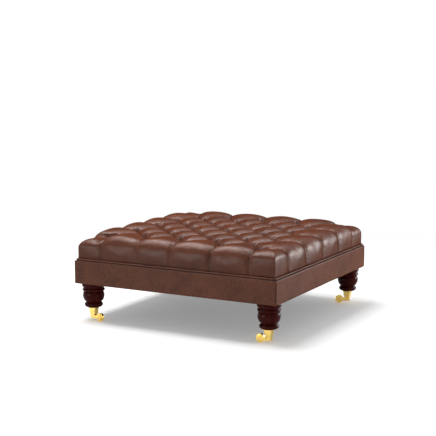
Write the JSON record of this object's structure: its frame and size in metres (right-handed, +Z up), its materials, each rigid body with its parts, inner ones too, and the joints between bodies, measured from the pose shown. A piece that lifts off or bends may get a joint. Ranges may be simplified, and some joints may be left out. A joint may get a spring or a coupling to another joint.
{
  "type": "footstool",
  "caption": "Low square deep-buttoned leather footstool on turned wooden legs with swivelling brass castors.",
  "frame": {"origin": "on the floor, under the middle of the square seat", "axes": "+Z up; +X to the right and -Y to the front, both square to the sides of the base"},
  "size_m": [0.91, 0.91, 0.3669],
  "materials": {
    "frame_timber": "planed beech, unfinished",
    "plywood": "sanded plywood, unfinished",
    "foam": "open-cell cushion foam",
    "seat_leather": "antiqued chestnut brown leather, waxed sheen",
    "border_leather": "antiqued chestnut brown leather, waxed sheen",
    "twine": "waxed linen twine",
    "dust_cloth": "black non-woven cloth",
    "zinc_steel": "bright zinc plate",
    "turned_mahogany": "dark mahogany stain, satin lacquer",
    "castor_brass": "polished brass",
    "wheel_brass": "polished brass, turned"
  },
  "bodies": {
    "root": {"front_rail": "frame_timber", "back_rail": "frame_timber", "left_rail": "frame_timber", "right_rail": "frame_timber", "front_cross_rail": "frame_timber", "back_cross_rail": "frame_timber", "front_right_block": "frame_timber", "front_left_block": "frame_timber", "back_right_block": "frame_timber", "back_left_block": "frame_timber", "rail_dowels": "frame_timber", "deck_board": "plywood", "deck_screws": "zinc_steel", "block_screws": "zinc_steel", "seat_foam": "foam", "tufted_cover": "seat_leather", "cover_buttons": "seat_leather", "button_twines": "twine", "twine_washers": "zinc_steel", "front_border": "border_leather", "right_border": "border_leather", "back_border": "border_leather", "left_border": "border_leather", "piping": "border_leather", "dust_cover": "dust_cloth", "dust_cover_staples": "zinc_steel", "front_right_leg": "turned_mahogany", "front_left_leg": "turned_mahogany", "back_right_leg": "turned_mahogany", "back_left_leg": "turned_mahogany", "hanger_bolts": "zinc_steel", "leg_nuts": "zinc_steel", "front_right_castor_cup": "castor_brass", "front_left_castor_cup": "castor_brass", "back_right_castor_cup": "castor_brass", "back_left_castor_cup": "castor_brass", "cup_screws": "castor_brass", "swivel_pins": "zinc_steel", "swivel_washers": "castor_brass"},
    "front_right_castor": {"front_right_horn": "castor_brass", "front_right_axle": "castor_brass"},
    "front_right_roller": {"front_right_wheel": "wheel_brass"},
    "front_left_castor": {"front_left_horn": "castor_brass", "front_left_axle": "castor_brass"},
    "front_left_roller": {"front_left_wheel": "wheel_brass"},
    "back_right_castor": {"back_right_horn": "castor_brass", "back_right_axle": "castor_brass"},
    "back_right_roller": {"back_right_wheel": "wheel_brass"},
    "back_left_castor": {"back_left_horn": "castor_brass", "back_left_axle": "castor_brass"},
    "back_left_roller": {"back_left_wheel": "wheel_brass"}
  },
  "joints": [
    {"name": "front_right_swivel", "type": "hinge", "parent": "root", "child": "front_right_castor", "pos_m": [0.4, -0.4, 0.0265], "axis": [0, 0, 1], "continuous": true},
    {"name": "front_right_roll", "type": "hinge", "parent": "front_right_castor", "child": "front_right_roller", "pos_m": [0.364, -0.4, 0.0175], "axis": [0, 1, 0], "continuous": true},
    {"name": "front_left_swivel", "type": "hinge", "parent": "root", "child": "front_left_castor", "pos_m": [-0.4, -0.4, 0.0265], "axis": [0, 0, 1], "continuous": true},
    {"name": "front_left_roll", "type": "hinge", "parent": "front_left_castor", "child": "front_left_roller", "pos_m": [-0.36459, -0.4065, 0.0175], "axis": [-0.1805, -0.9836, 0], "continuous": true},
    {"name": "back_right_swivel", "type": "hinge", "parent": "root", "child": "back_right_castor", "pos_m": [0.4, 0.4, 0.0265], "axis": [0, 0, 1], "continuous": true},
    {"name": "back_right_roll", "type": "hinge", "parent": "back_right_castor", "child": "back_right_roller", "pos_m": [0.36651, 0.38681, 0.0175], "axis": [-0.3665, 0.9304, 0], "continuous": true},
    {"name": "back_left_swivel", "type": "hinge", "parent": "root", "child": "back_left_castor", "pos_m": [-0.4, 0.4, 0.0265], "axis": [0, 0, 1], "continuous": true},
    {"name": "back_left_roll", "type": "hinge", "parent": "back_left_castor", "child": "back_left_roller", "pos_m": [-0.36479, 0.40748, 0.0175], "axis": [0.2079, -0.9781, 0], "continuous": true}
  ]
}
